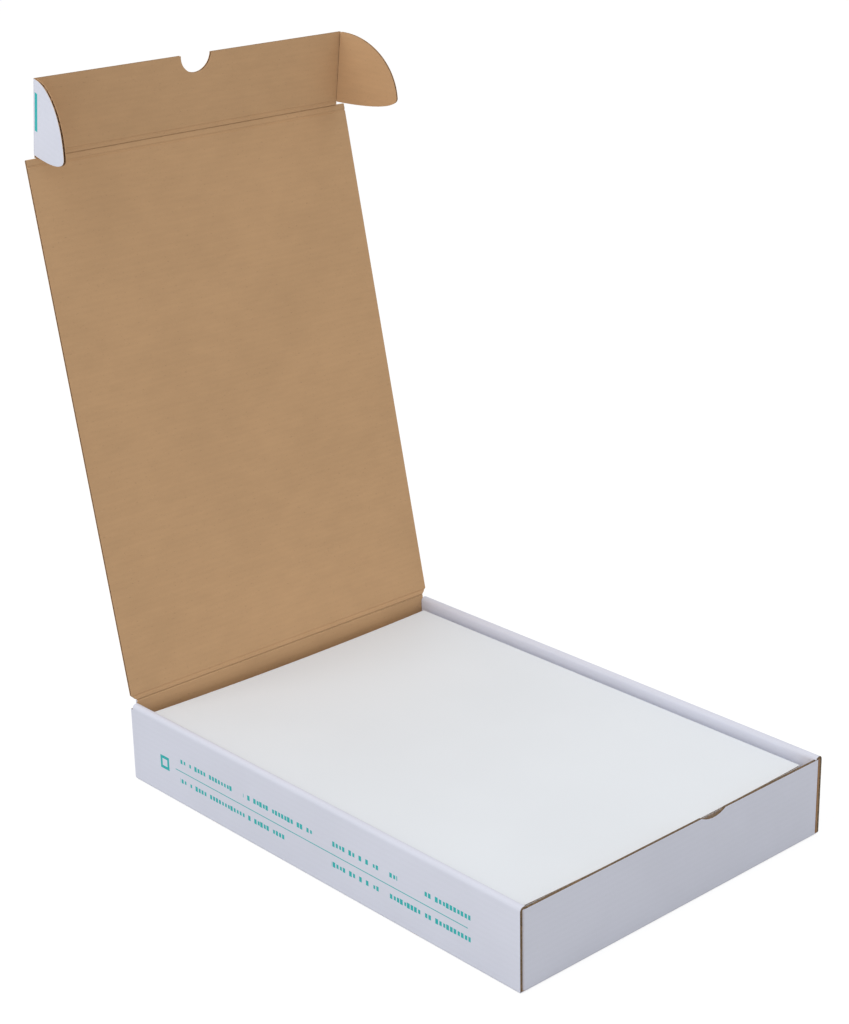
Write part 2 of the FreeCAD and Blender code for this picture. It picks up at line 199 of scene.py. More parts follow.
class Graph:
    """Node tree that is being filled."""

    def __init__(self, tree):
        self.tree = tree
        tree.nodes.clear()

    def feed(self, socket, value):
        if isinstance(value, Term):
            self.tree.links.new(value.socket, socket)
        elif value is not None:
            socket.default_value = value

    def node(self, kind, settings=None, **inputs):
        """Any node: its type, its settings, then its sockets, named or in_0, in_1 by place."""
        made = self.tree.nodes.new(kind)
        for name, value in (settings or {}).items():
            setattr(made, name, value)
        for name, value in inputs.items():
            if name.startswith("in_"):
                socket = made.inputs[int(name[3:])]
            else:
                socket = made.inputs[name.replace("_", " ")]
            self.feed(socket, value)
        return made

    def out(self, node, name=0):
        return Term(self, node.outputs[name])

    def math(self, operation, *values):
        inputs = {f"in_{index}": value for index, value in enumerate(values)}
        return self.out(self.node("ShaderNodeMath", {"operation": operation}, **inputs))

    def step(self, value, low, high, to_low=0.0, to_high=1.0):
        made = self.node("ShaderNodeMapRange", {"interpolation_type": "SMOOTHSTEP"}, Value=value,
                         From_Min=low, From_Max=high, To_Min=to_low, To_Max=to_high)
        return self.out(made)

    def mix(self, factor, first, second, blend="MIX"):
        made = self.node("ShaderNodeMix", {"data_type": "RGBA", "blend_type": blend})
        self.feed(made.inputs[0], factor)
        for socket, value in ((made.inputs[6], first), (made.inputs[7], second)):
            self.feed(socket, value if isinstance(value, Term) else (*value, 1.0))
        return self.out(made, 2)

    def noise(self, place, scale, detail=3.0, roughness=0.55):
        made = self.node("ShaderNodeTexNoise", {"noise_dimensions": "3D"}, Vector=place,
                         Scale=scale, Detail=detail, Roughness=roughness)
        return self.out(made, 0)

    def stretch(self, place, factors):
        made = self.node("ShaderNodeVectorMath", {"operation": "MULTIPLY"}, in_0=place,
                         in_1=factors)
        return self.out(made)

    def split(self, place):
        made = self.node("ShaderNodeSeparateXYZ", None, Vector=place)
        return self.out(made, 0), self.out(made, 1), self.out(made, 2)


def new_material(name, base, rough, bump=None, strength=0.3, distance=0.0002, specular=0.35):
    """Material whose base(graph) gives its colour, roughness and height as terms."""
    material = bpy.data.materials.new(name)
    material.use_nodes = True
    graph = Graph(material.node_tree)
    shade, roughness, height = base(graph)
    shader = graph.node("ShaderNodeBsdfPrincipled", None, Roughness=rough)
    graph.feed(shader.inputs["Base Color"], shade)
    graph.feed(shader.inputs["Roughness"], roughness)
    shader.inputs["Specular IOR Level"].default_value = specular
    if height is not None:
        raised = graph.node("ShaderNodeBump", None, Height=height, Strength=strength,
                            Distance=distance)
        graph.feed(shader.inputs["Normal"], graph.out(raised))
    output = graph.node("ShaderNodeOutputMaterial")
    graph.tree.links.new(shader.outputs[0], output.inputs["Surface"])
    return material


def panel_place(graph):
    """Place on a panel: X across it and Y along it, in metres."""
    made = graph.node("ShaderNodeUVMap", {"uv_map": "panel"})
    return graph.out(made)


def flutes(graph, along, pitch):
    """Faint ribs of the wavy sheet that press through the liner, from 0 to 1."""
    return graph.math("SINE", along * (2 * math.pi / pitch)) * 0.5 + 0.5


def kraft_liner(scene):
    """Brown liner with clouds, fibres and specks."""
    colours, board = scene.carton_colours, scene.carton_board

    def base(graph):
        place = panel_place(graph)
        across, along, _ = graph.split(place)
        clouds = graph.noise(place, 16.0, 3.0)
        patches = graph.noise(graph.stretch(place, (0.6, 1.6, 1.0)), 90.0, 4.0, 0.6)
        fibres = graph.noise(graph.stretch(place, (0.35, 1.0, 1.0)), 2600.0, 2.0, 0.7)
        specks = graph.noise(graph.stretch(place, (0.5, 1.0, 1.0)), 1100.0, 2.0, 0.5)
        ribs = flutes(graph, along, board.pitch)
        tone = clouds * 0.5 + patches * 0.35 + fibres * 0.15
        dark = tuple(0.94 * value for value in colours.kraft)
        light = tuple(min(1.0, 1.05 * value) for value in colours.kraft)
        shade = graph.mix(graph.step(tone, 0.30, 0.70), dark, light)
        shade = graph.mix(graph.step(specks, 0.62, 0.76) * 0.30, shade, tuple(colours.kraft_dark))
        pale = graph.step(specks, 0.26, 0.34, 1.0, 0.0)
        shade = graph.mix(pale * 0.20, shade, (0.68, 0.47, 0.31))
        # Painted shade: the liner is darkened a little along the flute ribs, besides their bump.
        shade = graph.mix(ribs * 0.03, shade, tuple(colours.kraft_dark))
        rough = 0.82 + fibres * 0.16
        return shade, rough, fibres * 0.12 + patches * 0.18 + ribs * 0.15
    return new_material("kraft_liner", base, 0.9, distance=0.0003, strength=0.35, specular=0.2)


def white_liner(scene, name, marks=None, ink_colour=None):
    """White liner; marks(graph, across, along) says where it is printed, and on the front wall where
    painted shade marks the slit.
    """
    colours, board = scene.carton_colours, scene.carton_board

    def base(graph):
        place = panel_place(graph)
        across, along, _ = graph.split(place)
        clouds = graph.noise(place, 12.0, 3.0)
        fibres = graph.noise(graph.stretch(place, (0.5, 1.0, 1.0)), 1500.0, 2.0, 0.6)
        scuffs = graph.noise(graph.stretch(place, (1.0, 0.35, 1.0)), 210.0, 5.0, 0.7)
        ribs = flutes(graph, along, board.pitch)
        white = tuple(colours.white)
        dull = tuple(0.965 * value for value in white)
        shade = graph.mix(graph.step(clouds, 0.35, 0.65), dull, white)
        shade = graph.mix(graph.step(fibres, 0.60, 0.78) * 0.16, shade, (0.60, 0.58, 0.55))
        shade = graph.mix(graph.step(scuffs, 0.66, 0.78) * 0.12, shade, (0.62, 0.58, 0.52))
        # Painted shade: bluish grey along the flute ribs, besides their bump.
        shade = graph.mix(ribs * 0.035, shade, (0.50, 0.53, 0.60))
        if marks is not None:
            # The marks are print, except the front wall's slit, which is painted shade.
            ink = graph.step(fibres, 0.2, 0.5, 0.82, 1.0)
            shade = graph.mix(marks(graph, across, along) * ink, shade,
                              ink_colour or tuple(colours.ink))
        rough = 0.55 + clouds * 0.15 + fibres * 0.1
        return shade, rough, fibres * 0.08 + ribs * 0.2 + scuffs * 0.06
    return new_material(name, base, 0.6, distance=0.00025, strength=0.25, specular=0.4)


def box_mark(graph, across, along, middle_across, middle_along, width, height, soft=0.12 * MM):
    """1 inside a rectangle and 0 outside it."""
    far_across = graph.math("ABSOLUTE", across - middle_across) - width / 2
    far_along = graph.math("ABSOLUTE", along - middle_along) - height / 2
    return graph.step(graph.math("MAXIMUM", far_across, far_along), -soft, soft, 1.0, 0.0)


def side_wall_marks(graph, across, along):
    """Rows of small blocks, a long line and two plain squares, printed on the left side wall."""
    cell = across / (2.6 * MM)
    number = graph.math("FLOOR", cell)
    chance = graph.out(graph.node("ShaderNodeTexWhiteNoise", {"noise_dimensions": "1D"}, W=number))
    within = graph.math("FRACT", cell)
    kept = graph.math("GREATER_THAN", chance, 0.16)
    blocks = graph.math("LESS_THAN", within, 0.48 + chance * 0.36) * kept
    rows = None
    for middle, row, width in ((88.0, 27.5, 46.0), (26.0, 27.5, 58.0), (-44.0, 27.5, 50.0),
                               (-104.0, 27.5, 36.0), (66.0, 15.4, 92.0), (-70.0, 15.4, 104.0)):
        tall = (0.9 + chance * 0.7) * MM
        far = graph.math("ABSOLUTE", along - row * MM) - tall
        band = graph.step(graph.math("MAXIMUM", far, graph.math("ABSOLUTE", across - middle * MM)
                                     - width / 2 * MM), -0.12 * MM, 0.12 * MM, 1.0, 0.0)
        rows = band if rows is None else graph.math("MAXIMUM", rows, band)
    line = box_mark(graph, across, along, -2.0 * MM, 21.2 * MM, 236.0 * MM, 0.5 * MM)
    square = box_mark(graph, across, along, 126.0 * MM, 21.4 * MM, 8.0 * MM, 8.0 * MM)
    hole = box_mark(graph, across, along, 126.0 * MM, 21.4 * MM, 4.4 * MM, 4.4 * MM)
    return graph.math("MINIMUM", rows * blocks + line + square - hole, 1.0)


def ear_marks(graph, across, along):
    """Plain printed patch beside the left ear's fold."""
    return box_mark(graph, across, along, -3.4 * MM, -27.5 * MM, 3.6 * MM, 21.0 * MM, 0.25 * MM)


def front_slit_painted_shade(graph, across, along):
    """Dark slit at the foot of the front wall, where the board was cut through: painted shade inside
    the cut.
    """
    return box_mark(graph, across, along, 81.7 * MM, 0.4 * MM, 9.6 * MM, 1.0 * MM)


def cut_edge(scene, name, edge):
    """Raw edge of the board. With the darker wall edge colour, its brown is also painted shade for
    the flutes and gaps at the tray's wall ends.
    """
    colours = scene.carton_colours

    def base(graph):
        place = graph.out(graph.node("ShaderNodeTexCoord"), "Object")
        lines = graph.noise(place, 900.0, 4.0, 0.7)
        patches = graph.noise(place, 120.0, 3.0)
        shade = graph.mix(graph.step(lines, 0.36, 0.66), tuple(0.62 * value for value in edge),
                          tuple(min(1.0, 1.35 * value) for value in edge))
        shade = graph.mix(graph.step(patches, 0.5, 0.7) * 0.15, shade, tuple(colours.kraft))
        return shade, 0.9 + patches * 0.05, lines
    return new_material(name, base, 0.95, distance=0.0004, strength=0.6, specular=0.15)


def sheet_material(scene, name, edges):
    """Paper; with edges, it shows the layers of the sheets, with painted shade between them."""
    colours = scene.carton_colours

    def base(graph):
        place = graph.out(graph.node("ShaderNodeTexCoord"), "Object")
        paper = tuple(colours.paper)
        clouds = graph.noise(place, 9.0, 2.0)
        tooth = graph.noise(place, 2200.0, 2.0, 0.6)
        dull = tuple(0.975 * value for value in paper)
        shade = graph.mix(graph.step(clouds, 0.3, 0.7), dull, paper)
        shade = graph.mix(graph.step(tooth, 0.6, 0.8) * 0.05, shade, (0.70, 0.71, 0.73))
        height = tooth * 0.1
        if edges:
            # Painted shade: dark grey streaks along the stack's edges for the shaded gaps between
            # sheets.
            layers = graph.noise(graph.stretch(place, (0.05, 0.05, 1.0)), 3600.0, 2.0, 0.6)
            shade = graph.mix(graph.step(layers, 0.5, 0.72) * 0.4, shade, (0.55, 0.56, 0.60))
            height = height + layers * 0.6
        return shade, 0.62 + tooth * 0.12, height
    return new_material(name, base, 0.65, distance=0.00015, strength=0.25, specular=0.3)


# Meshes

class Sheets:
    """Collects closed shells in a panel's own coordinates and makes one object of them."""

    def __init__(self):
        self.points, self.faces, self.slots = [], [], []

    def face(self, corners, slot):
        self.faces.append(tuple(corners))
        self.slots.append(slot)

    def grid(self, rows, left, right, height, columns):
        grid = []
        for along in rows:
            low, high = left(along), right(along)
            line = []
            for column in range(columns + 1):
                across = low + (high - low) * column / columns
                line.append(len(self.points))
                self.points.append((across, along, height(along)))
            grid.append(line)
        return grid

    def shell(self, rows, left, right, top, bottom, columns, slots):
        """Shell over rows from the panel's root to its free edge; slots: top, bottom, sides."""
        upper = self.grid(rows, left, right, top, columns)
        lower = self.grid(rows, left, right, bottom, columns)
        last = len(rows) - 1
        for row in range(last):
            for column in range(columns):
                a, b = upper[row], upper[row + 1]
                self.face((a[column], b[column], b[column + 1], a[column + 1]), slots[0])
                a, b = lower[row], lower[row + 1]
                self.face((a[column], a[column + 1], b[column + 1], b[column]), slots[1])
            a, b, c, d = upper[row], lower[row], lower[row + 1], upper[row + 1]
            self.face((a[0], b[0], c[0], d[0]), slots[2])
            self.face((a[-1], d[-1], c[-1], b[-1]), slots[2])
        for column in range(columns):
            a, b = upper[last], lower[last]
            self.face((a[column], b[column], b[column + 1], a[column + 1]), slots[2])
            a, b = upper[0], lower[0]
            self.face((a[column], a[column + 1], b[column + 1], b[column]), slots[2])

    def rod(self, start, end, side, radius, count, slot_of, turn=FULL_TURN):
        """Round bar between two places; slot_of(angle) gives the finish, angles start at +Z."""
        axis = (Vector(end) - Vector(start)).normalized()
        up = Vector((0, 0, 1))
        out = Vector(side)
        closed = turn == FULL_TURN
        steps = count if closed else count + 1
        rings = []
        for origin in (Vector(start), Vector(end)):
            ring = []
            for index in range(steps):
                angle = turn[0] + (turn[1] - turn[0]) * index / count
                place = origin + radius * (math.cos(angle) * up + math.sin(angle) * out)
                ring.append(len(self.points))
                self.points.append(tuple(place))
            rings.append(ring)
        flip = up.cross(out).dot(axis) < 0
        for index in range(count):
            follow = (index + 1) % steps
            middle = turn[0] + (turn[1] - turn[0]) * (index + 0.5) / count
            corners = [rings[0][index], rings[0][follow], rings[1][follow], rings[1][index]]
            self.face(corners if flip else corners[::-1], slot_of(middle))
        if not closed:
            corners = [rings[0][0], rings[1][0], rings[1][-1], rings[0][-1]]
            self.face(corners if flip else corners[::-1], slot_of(middle))
        first, second = list(rings[0]), list(rings[1])
        self.face(first[::-1] if flip else first, 2)
        self.face(second if flip else second[::-1], 2)

    def make(self, name, placement, materials):
        mesh = bpy.data.meshes.new(name)
        mesh.from_pydata(self.points, [], self.faces)
        for material in materials:
            mesh.materials.append(material)
        mesh.polygons.foreach_set("material_index", self.slots)
        layer = mesh.uv_layers.new(name="panel")
        for loop in mesh.loops:
            point = self.points[loop.vertex_index]
            layer.data[loop.index].uv = (point[0], point[1])
        mesh.transform(placement)
        mesh.update()
        piece = bpy.data.objects.new(name, mesh)
        bpy.context.scene.collection.objects.link(piece)
        mesh.shade_smooth()
        mesh.set_sharp_from_angle(angle=SHARP_ANGLE)
        return piece


def spaced(start, end, gap):
    count = max(1, math.ceil(abs(end - start) / gap))
    return [start + (end - start) * index / count for index in range(count + 1)]


def joined(pieces, name):
    """One object from several, whose meshes are put together."""
    with bpy.context.temp_override(active_object=pieces[0], object=pieces[0],
                                   selected_objects=pieces, selected_editable_objects=pieces):
        bpy.ops.object.join()
    pieces[0].name = name
    pieces[0].data.name = name
    return pieces[0]


def finish(name):
    return bpy.data.materials[name]


def panel_placement(origin, along, fold=0.0, shift=0.0):
    """X runs across the panel, -Y to its free edge and +Z out of its white side."""
    down = -Vector(along).normalized()
    across = Vector((1, 0, 0))
    out = across.cross(down)
    turned = Matrix((across, down, out)).transposed().to_4x4()
    return (Matrix.Translation(Vector(origin)) @ turned @ Matrix.Translation((shift, 0, 0))
            @ Matrix.Rotation(fold, 4, "Y"))


def lid_placement():
    hinge = Vector(joints["lid_hinge"]["pos_m"])
    return panel_placement(hinge, Vector(joints["flap_crease"]["pos_m"]) - hinge)


def lid_reach():
    return (Vector(joints["flap_crease"]["pos_m"]) - Vector(joints["lid_hinge"]["pos_m"])).length


def flap_placement():
    axis = -Vector(joints["right_ear_crease"]["axis"])
    return panel_placement(joints["flap_crease"]["pos_m"], axis)


def ear_offset():
    return joints["right_ear_crease"]["pos_m"][0]


def wave_tree():
    """Bends a flat plan into the board's wavy sheet and gives it thickness."""
    tree = bpy.data.node_groups.new("wavy_sheet", "GeometryNodeTree")
    face = tree.interface
    face.new_socket("Geometry", in_out="INPUT", socket_type="NodeSocketGeometry")
    for name in ("Pitch", "Height", "Thickness"):
        face.new_socket(name, in_out="INPUT", socket_type="NodeSocketFloat")
    face.new_socket("Material", in_out="INPUT", socket_type="NodeSocketMaterial")
    face.new_socket("Geometry", in_out="OUTPUT", socket_type="NodeSocketGeometry")
    graph = Graph(tree)
    given = graph.node("NodeGroupInput")
    place = graph.node("ShaderNodeSeparateXYZ", None,
                       Vector=graph.out(graph.node("GeometryNodeInputPosition")))
    turns = graph.out(place, 1) / graph.out(given, "Pitch")
    wave = graph.math("SINE", turns * (2 * math.pi)) * graph.out(given, "Height")
    thickness = graph.out(given, "Thickness")
    layers = []
    for sign in (0.5, -0.5):
        lift = graph.node("ShaderNodeCombineXYZ", None, Z=wave + thickness * sign)
        moved = graph.node("GeometryNodeSetPosition", None, Geometry=graph.out(given, 0),
                           Offset=graph.out(lift))
        layers.append(graph.out(moved))
    flipped = graph.out(graph.node("GeometryNodeFlipFaces", None, Mesh=layers[1]))
    both = graph.node("GeometryNodeJoinGeometry")
    graph.tree.links.new(flipped.socket, both.inputs[0])
    graph.tree.links.new(layers[0].socket, both.inputs[0])
    whole = graph.node("GeometryNodeRealizeInstances", None, Geometry=graph.out(both))
    made = graph.node("GeometryNodeSetMaterial", None, Geometry=graph.out(whole),
                      Material=graph.out(given, "Material"))
    end = graph.node("NodeGroupOutput")
    graph.tree.links.new(made.outputs[0], end.inputs[0])
    return tree


def set_input(modifier, name, value):
    for item in modifier.node_group.interface.items_tree:
        if item.item_type == "SOCKET" and item.in_out == "INPUT" and item.name == name:
            modifier[item.identifier] = value
            return
    raise RuntimeError(f"the tree has no input {name}")


def baked(piece, modifier):
    """Turns a piece with a node tree into a plain mesh."""
    depsgraph = bpy.context.evaluated_depsgraph_get()
    mesh = bpy.data.meshes.new_from_object(piece.evaluated_get(depsgraph), depsgraph=depsgraph)
    old = piece.data
    piece.modifiers.remove(modifier)
    piece.data = mesh
    bpy.data.meshes.remove(old)
    return piece


def wavy_sheet(name, plans, placement, board):
    """The board's wavy sheet over the plans (rows, left, right)."""
    sheets = Sheets()
    inset = board.recess
    for start, end, left, right in plans:
        rows = spaced(start, end, board.pitch / 10)
        grid = sheets.grid(rows, lambda y: left(y) + inset, lambda y: right(y) - inset,
                           lambda y: 0.0, 1)
        for row in range(len(rows) - 1):
            sheets.face((grid[row][0], grid[row + 1][0], grid[row + 1][1], grid[row][1]), 0)
    piece = sheets.make(name, Matrix.Identity(4), [finish("cut_edge")])
    tree = bpy.data.node_groups.get("wavy_sheet") or wave_tree()
    modifier = piece.modifiers.new("wave", "NODES")
    modifier.node_group = tree
    set_input(modifier, "Pitch", board.pitch)
    set_input(modifier, "Height", board.thickness / 2 - board.liner - board.medium / 2)
    set_input(modifier, "Thickness", board.medium)
    set_input(modifier, "Material", finish("cut_edge"))
    baked(piece, modifier)
    piece.data.transform(placement)
    piece.data.update()
    return piece


def liners(sheets, board, rows, left, right, scores=()):
    """White sheet on top and brown sheet below, with scored lines pressed into the brown one."""
    half = board.thickness / 2

    def pressed(along):
        depth = 0.0
        for place in scores:
            far = abs(along - place) / (board.score_width / 2)
            if far < 1:
                depth = max(depth, board.score_depth * (1 - far * far))
        return depth

    sheets.shell(rows, left, right, lambda y: half, lambda y: half - board.liner, 12, (0, 1, 1))
    sheets.shell(rows, left, right, lambda y: -half + board.liner + 0.8 * pressed(y),
                 lambda y: -half + pressed(y), 12, (1, 1, 1))


def scored_rows(board, start, end, scores, gap=12 * MM):
    rows = set(spaced(start, end, gap))
    for place in scores:
        rows.update(place + board.score_width / 2 * step / 4 for step in range(-4, 5))
    return sorted((row for row in rows if end - 1e-9 <= row <= start + 1e-9), reverse=True)


def dress(piece, node, body):
    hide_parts(node)
    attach(piece, body)
    return piece


# Pieces

class CARTON_OT_finishes(bpy.types.Operator):
    """Make the finishes of board, paper and print"""
    bl_idname = "carton.finishes"
    bl_label = "Finishes"

    def execute(self, context):
        scene = context.scene
        kraft_liner(scene)
        white_liner(scene, "white_liner")
        white_liner(scene, "printed_liner", side_wall_marks)
        white_liner(scene, "printed_ear", ear_marks)
        # The front wall's slit is a dark mark of painted shade, not ink.
        white_liner(scene, "front_liner", front_slit_painted_shade, (0.10, 0.075, 0.055))
        cut_edge(scene, "cut_edge", tuple(scene.carton_colours.edge))
        # The tray's wall edges get a darker colour that paints the shade in their flutes and gaps.
        cut_edge(scene, "wall_edge", tuple(scene.carton_colours.wall_edge))
        sheet_material(scene, "sheet_face", False)
        sheet_material(scene, "sheet_edges", True)
        return {"FINISHED"}


class CARTON_OT_tray(bpy.types.Operator):
    """Make the tray with its white outer and brown inner liner"""
    bl_idname = "carton.tray"
    bl_label = "Tray"

    def execute(self, context):
        _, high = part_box("tray")
        source = frame["nodes"]["tray"].data
        places, index_of, points, faces = {}, [], [], []
        for vertex in source.vertices:
            key = tuple(round(value, 6) for value in vertex.co)
            if key not in places:
                places[key] = len(points)
                points.append(tuple(vertex.co))
            index_of.append(places[key])
        for polygon in source.polygons:
            corners = [index_of[index] for index in polygon.vertices]
            if len(set(corners)) == len(corners):
                faces.append(corners)
        mesh = bpy.data.meshes.new("carton_tray")
        mesh.from_pydata(points, [], faces)
        for name in ("white_liner", "kraft_liner", "wall_edge", "printed_liner", "front_liner"):
            mesh.materials.append(finish(name))
        mesh.update()
        layer = mesh.uv_layers.new(name="panel")
        board = context.scene.carton_board.thickness
        for polygon in mesh.polygons:
            polygon.material_index = self.slot(polygon.normal, polygon.center, high, board)
            for loop in polygon.loop_indices:
                corner = mesh.vertices[mesh.loops[loop].vertex_index]
                layer.data[loop].uv = self.unfold(polygon.normal, corner.co)
        piece = bpy.data.objects.new("carton_tray", mesh)
        context.scene.collection.objects.link(piece)
        mesh.shade_smooth()
        mesh.set_sharp_from_angle(angle=SHARP_ANGLE)
        dress(piece, "tray", "tray_body")
        return {"FINISHED"}

    @staticmethod
    def unfold(normal, place):
        """Place of a corner on the flat board of its face."""
        if abs(normal.x) > 0.6:
            return (place.y, place.z)
        if abs(normal.y) > 0.6:
            return (place.x, place.z)
        return (place.x, place.y)

    @staticmethod
    def slot(normal, centre, high, board):
        """Finish of a face of the folded tray, from where it lies and where it looks."""
        white, kraft, edge, printed, front = range(5)
        near, bend = 0.2 * MM, 2.1 * MM
        rim, end_rim = 47.5 * MM, 45.75 * MM
        roll = 3 * board + 0.3 * MM
        across, out = abs(centre.x), normal.x * (1 if centre.x > 0 else -1)
        if across > high.x - near and out > 0.5:
            return printed if centre.x < 0 else white
        if normal.z < -0.9 and centre.z < near:
            return white
        if abs(normal.y) > 0.9:
            at_end = abs(centre.y) > high.y - near
            if at_end and across < high.x - board - near and centre.z < end_rim:
                return front if centre.y < 0 else white
            if at_end and across < high.x - roll - near:
                return front if centre.y < 0 else white
            inside = abs(abs(centre.y) - (high.y - board)) < near / 4
            return kraft if not at_end and inside and across < high.x - roll + near else edge
        middle_across, middle_up = high.x - roll / 2, rim - roll / 2
        if centre.z > middle_up and across > high.x - roll - near and abs(centre.y) < high.y + near:
            far = math.hypot(across - middle_across, centre.z - middle_up)
            return white if far > roll / 2 - 0.3 * MM else kraft
        if abs(across - (high.x - roll)) < near and out < -0.5:
            return white
        if centre.z > rim and normal.y > 0.15:
            return white
        if normal.z > 0.9 and 45.0 * MM < centre.z < 46.0 * MM:
            return edge
        in_end_wall = abs(centre.y) > high.y - board - near
        if normal.z > 0.3 and in_end_wall and 42.0 * MM < centre.z < 46.0 * MM:
            return edge
        if centre.z < bend and normal.z < -0.1:
            return white
        if abs(centre.y) > high.y - bend and abs(normal.z) < 0.2 and normal.y * centre.y > 0:
            return white
        return kraft


class CARTON_OT_lid(bpy.types.Operator):
    """Make the lid of corrugated board"""
    bl_idname = "carton.lid"
    bl_label = "Lid"

    def execute(self, context):
        board = context.scene.carton_board
        _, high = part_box("lid_panel")
        half_width, reach, corner = high.x, lid_reach(), board.lid_corner
        start, end = -board.root, -reach
        scores = (-board.score_inset, -(reach - board.score_inset))

        def right(along):
            return half_width - max(0.0, corner - (start - along))

        def left(along):
            return -right(along)

        sheets = Sheets()
        rows = scored_rows(board, start, end, scores)
        rows = sorted(set(rows) | {start - corner}, reverse=True)
        liners(sheets, board, rows, left, right, scores)
        sheets.rod((-half_width, end, 0), (half_width, end, 0), (0, -1, 0), board.thickness / 2, 12,
                   lambda angle: 0 if angle < 1.45 else 1, (0.0, math.pi))
        materials = [finish("white_liner"), finish("kraft_liner"), finish("cut_edge")]
        piece = sheets.make("carton_lid", lid_placement(), materials)
        wave = wavy_sheet("lid_wave", [(start - 0.2 * MM, end + 0.2 * MM, left, right)],
                          lid_placement(), board)
        piece = joined([piece, wave], "carton_lid")
        dress(piece, "lid_panel", "lid")
        return {"FINISHED"}


class CARTON_OT_flap(bpy.types.Operator):
    """Make the tuck flap with its grip and the rounded folds of its ears"""
    bl_idname = "carton.flap"
    bl_label = "Tuck flap"

    def execute(self, context):
        board = context.scene.carton_board
        side, height, grip = ear_offset(), board.flap_height, board.grip_radius
        start, notch = -board.root, -(board.flap_height - board.grip_radius)
        scores = (-board.score_inset,)
        placement = flap_placement()

        def cut(along):
            return math.sqrt(max(0.0, grip ** 2 - (along + height) ** 2))

        def plain_left(along):
            return -side

        def plain_right(along):
            return side

        def cut_left(along):
            return -cut(along)

        plans = [(start, notch, plain_left, plain_right), (notch, -height, plain_left, cut_left),
                 (notch, -height, cut, plain_right)]
        sheets = Sheets()
        for first, last, left, right in plans:
            if first == start:
                rows = scored_rows(board, first, last, scores)
            else:
                rows = [first + (last - first) * (1 - math.cos(math.pi / 2 * step / 12))
                        for step in range(13)]
            liners(sheets, board, rows, left, right, scores)
        for across in (-side, side):
            sheets.rod((across, -board.ear_start, 0), (across, -height, 0),
                       (1 if across > 0 else -1, 0, 0), board.thickness / 2, 16,
                       lambda angle: 0 if math.cos(angle) + math.sin(angle) > 0.1 else 1)
        materials = [finish("white_liner"), finish("kraft_liner"), finish("cut_edge")]
        piece = sheets.make("carton_flap", placement, materials)
        free_edge = -height + 0.1 * MM
        wave_plans = [(start - 0.2 * MM, notch, plain_left, plain_right),
                      (notch, free_edge, plain_left, cut_left), (notch, free_edge, cut, plain_right)]
        wave = wavy_sheet("flap_wave", wave_plans, placement, board)
        piece = joined([piece, wave], "carton_flap")
        dress(piece, "tuck_flap", "flap")
        return {"FINISHED"}


class CARTON_OT_ears(bpy.types.Operator):
    """Make the two ears beside the tuck flap"""
    bl_idname = "carton.ears"
    bl_label = "Ears"

    def execute(self, context):
        board = context.scene.carton_board
        for node, body, side, fold in (("left_ear", "ear_left", -1, board.left_ear_fold),
                                       ("right_ear", "ear_right", 1, board.right_ear_fold)):
            origin = joints["flap_crease"]["pos_m"]
            axis = -Vector(joints["right_ear_crease"]["axis"])
            placement = panel_placement(origin, axis, side * fold, side * ear_offset())
            points = self.outline(board)

            def span(along):
                found = []
                for first, second in zip(points, points[1:] + points[:1]):
                    low, high = sorted((first, second), key=lambda point: point.y)
                    if low.y <= along <= high.y and high.y > low.y:
                        share = (along - low.y) / (high.y - low.y)
                        found.append(low.x + (high.x - low.x) * share)
                if side > 0:
                    return min(found), max(found)
                return -max(found), -min(found)

            def left(along):
                return span(along)[0]

            def right(along):
                return span(along)[1]

            start = max(point.y for point in points) - 0.02 * MM
            end = min(point.y for point in points) + 0.02 * MM
            rows = [(start + end) / 2 + (start - end) / 2 * math.cos(math.pi * step / 48)
                    for step in range(49)]
            sheets = Sheets()
            liners(sheets, board, rows, left, right)
            outer = finish("printed_ear") if side < 0 else finish("white_liner")
            piece = sheets.make(f"carton_{node}", placement,
                                [outer, finish("kraft_liner"), finish("cut_edge")])
            wave = wavy_sheet(f"{node}_wave", [(start - 0.3 * MM, end + 0.3 * MM, left, right)],
                              placement, board)
            piece = joined([piece, wave], f"carton_{node}")
            dress(piece, node, body)
        return {"FINISHED"}

    @staticmethod
    def outline(board):
        """Round edge from the ear's foot to its tip, then a soft curve back to its root."""
        foot = Vector((board.root, -board.flap_height))
        tip = Vector((board.ear_reach, -board.ear_tip))
        root = Vector((board.root, -board.ear_start))
        chord = tip - foot
        lift = math.sqrt(board.ear_round ** 2 - (chord.length / 2) ** 2)
        centre = (tip + foot) / 2 + Vector((-chord.y, chord.x)).normalized() * lift
        first = math.atan2(foot.y - centre.y, foot.x - centre.x)
        last = math.atan2(tip.y - centre.y, tip.x - centre.x)
        points = [centre + board.ear_round * Vector((math.cos(angle), math.sin(angle)))
                  for angle in (first + (last - first) * step / 48 for step in range(49))]
        handles = (tip, tip + Vector((0, board.ear_fullness)),
                   Vector((board.ear_shoulder, root.y - 0.6 * MM)), root)
        for step in range(1, 33):
            share = step / 32
            weights = ((1 - share) ** 3, 3 * (1 - share) ** 2 * share, 3 * (1 - share) * share ** 2,
                       share ** 3)
            points.append(sum((weight * handle for weight, handle in zip(weights, handles)),
                              Vector((0, 0))))
        return points


